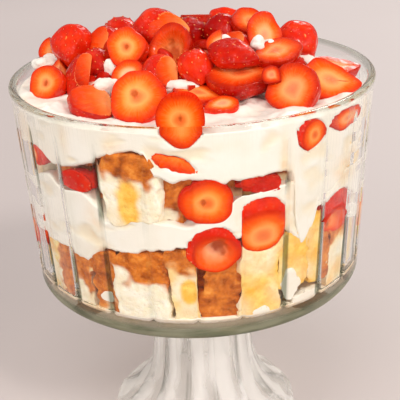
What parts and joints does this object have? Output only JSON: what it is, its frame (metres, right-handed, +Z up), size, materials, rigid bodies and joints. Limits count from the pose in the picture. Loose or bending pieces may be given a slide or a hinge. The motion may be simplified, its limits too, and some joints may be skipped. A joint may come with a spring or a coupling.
{
  "type": "trifle",
  "caption": "Strawberry trifle with cake, cream and a heap of cut berries in a footed glass bowl.",
  "frame": {"origin": "middle of the foot's resting ring, on the surface it stands on", "axes": "+Z up through the bowl's axis, -Y towards the front, +X to the right seen from the front"},
  "size_m": [0.2158, 0.2158, 0.2719],
  "materials": {
    "glass": "clear pressed glass",
    "cake": "soft crumb, stands in for sponge cake",
    "cream": "smooth whipped cream",
    "berry_skin": "wet seeded skin",
    "berry_flesh": "wet cut flesh"
  },
  "bodies": {
    "root": {"bowl": "glass", "cake_lower": "cake", "cream_middle": "cream", "cake_upper": "cake", "cream_top": "cream", "berry_heap": "berry_skin", "side_slice_upper": "berry_flesh", "side_half_hollow": "berry_flesh", "side_half_seeded": "berry_flesh", "side_dark_sliver": "berry_flesh", "side_left_small": "berry_flesh", "side_left_seeded": "berry_flesh", "side_left_low": "berry_flesh", "side_right_berry": "berry_flesh", "side_right_low": "berry_flesh", "side_flesh_strip": "berry_flesh", "edge_slice": "berry_flesh", "rim_heart": "berry_flesh", "rim_long_slice": "berry_flesh", "round_slice_front": "berry_flesh", "skin_half_front_left": "berry_skin", "holed_slice_left": "berry_flesh", "flat_slice_left": "berry_flesh", "wedge_left": "berry_flesh", "wedge_rim_left": "berry_flesh", "half_left": "berry_skin", "small_oval_slice": "berry_flesh", "sunk_flat_slice": "berry_flesh", "cut_half_right": "berry_flesh", "cut_face_right": "berry_flesh", "pale_slice_right": "berry_flesh", "red_whole_right": "berry_skin", "crescent_half": "berry_skin", "slice_behind_front": "berry_flesh", "seeded_half": "berry_skin", "dark_whole_left": "berry_skin", "seeded_round": "berry_skin", "seeded_lip_half": "berry_skin", "tilted_half": "berry_flesh", "glossy_chunk_left": "berry_skin", "seeded_half_left": "berry_skin", "glossy_half_left": "berry_skin", "facing_slice": "berry_flesh", "small_behind_left": "berry_skin", "hollow_half": "berry_skin", "wedge_middle": "berry_flesh", "skin_half_middle": "berry_skin", "dark_behind_middle": "berry_skin", "top_half": "berry_skin", "dark_whole_top": "berry_skin", "pale_half_upright": "berry_flesh", "skin_half_right": "berry_skin", "light_half_top": "berry_flesh", "small_wedge_right": "berry_flesh", "back_half": "berry_skin", "back_slice": "berry_flesh", "back_whole": "berry_skin", "back_wedge": "berry_flesh", "back_cut_half": "berry_flesh"}
  },
  "joints": []
}
